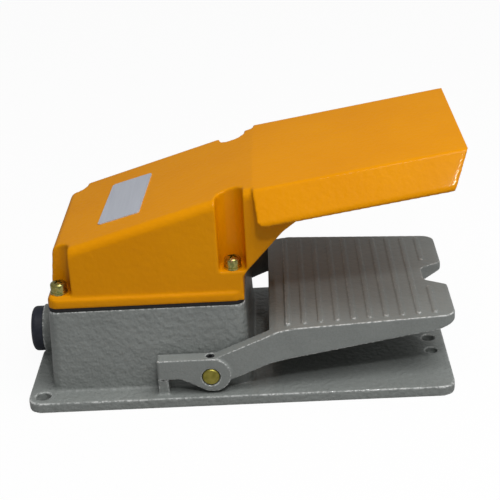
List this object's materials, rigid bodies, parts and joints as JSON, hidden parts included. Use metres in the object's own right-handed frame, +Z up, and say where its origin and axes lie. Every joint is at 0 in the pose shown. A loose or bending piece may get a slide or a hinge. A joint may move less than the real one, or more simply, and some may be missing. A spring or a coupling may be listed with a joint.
{
  "type": "industrial foot switch",
  "caption": "Foot switch: grey cast base and switch chamber, orange-yellow hooded cover, and a ribbed rocking pedal on a through shaft over a snap-action switch.",
  "frame": {"origin": "centre of the base plate's underside", "axes": "+X towards the toe end, +Y to the left when facing +X, +Z up"},
  "size_m": [0.2516, 0.138, 0.1402],
  "materials": {
    "grey_paint": "grey hammertone paint over a die-cast aluminium body",
    "yellow_paint": "glossy orange-yellow paint over a die-cast aluminium body",
    "black_rubber": "matt",
    "yellow_zinc": "yellow-green zinc plating",
    "plate_metal": "plain satin sheet",
    "black_steel": "black oxide",
    "bright_steel": "bright zinc plating",
    "brass": "plain",
    "black_plastic": "blue-black moulding",
    "red_plastic": "dark red moulding",
    "ivory_plastic": "plain"
  },
  "bodies": {
    "housing": {"base_casting": "grey_paint", "cover_gasket": "black_rubber", "cover_hood": "yellow_paint", "front_cover_screws": "yellow_zinc", "rear_cover_screws": "yellow_zinc", "cover_spring_washers": "yellow_zinc", "cover_flat_washers": "yellow_zinc", "nameplate": "plate_metal", "shaft_bushes": "brass", "shaft_seals": "black_rubber", "return_spring": "bright_steel", "switch_bracket": "bright_steel", "bracket_screws": "yellow_zinc", "microswitch_case": "black_plastic", "microswitch_lid": "red_plastic", "switch_terminals": "brass", "terminal_screws": "yellow_zinc", "switch_mounting_screws": "yellow_zinc", "switch_mounting_nuts": "yellow_zinc", "earth_screw": "brass", "gland_body": "black_plastic", "gland_locknut": "black_plastic", "gland_seal": "black_rubber", "gland_cap_nut": "black_plastic"},
    "pedal_assembly": {"pedal": "grey_paint", "pedal_grub_screws": "black_steel", "pivot_shaft": "yellow_zinc", "actuating_lever": "bright_steel", "lever_grub_screw": "black_steel"},
    "plunger": {"switch_plunger": "ivory_plastic"}
  },
  "joints": [
    {"name": "pedal_hinge", "type": "hinge", "parent": "housing", "child": "pedal_assembly", "pos_m": [-0.016, 0, 0.0165], "axis": [0, 1, 0], "range_deg": [0, 12], "stiffness_Nm_per_rad": 4, "springref_deg": -20.05, "deforming": ["return_spring"]},
    {"name": "plunger_slide", "type": "slide", "parent": "housing", "child": "plunger", "axis": [0, 0, 1], "range_m": [0, 0.0026], "stiffness_N_per_m": 200, "springref_m": -0.003}
  ],
  "couplings": [
    {"joint": "plunger_slide", "follows": "pedal_hinge", "m_per_rad": 0.0117}
  ]
}
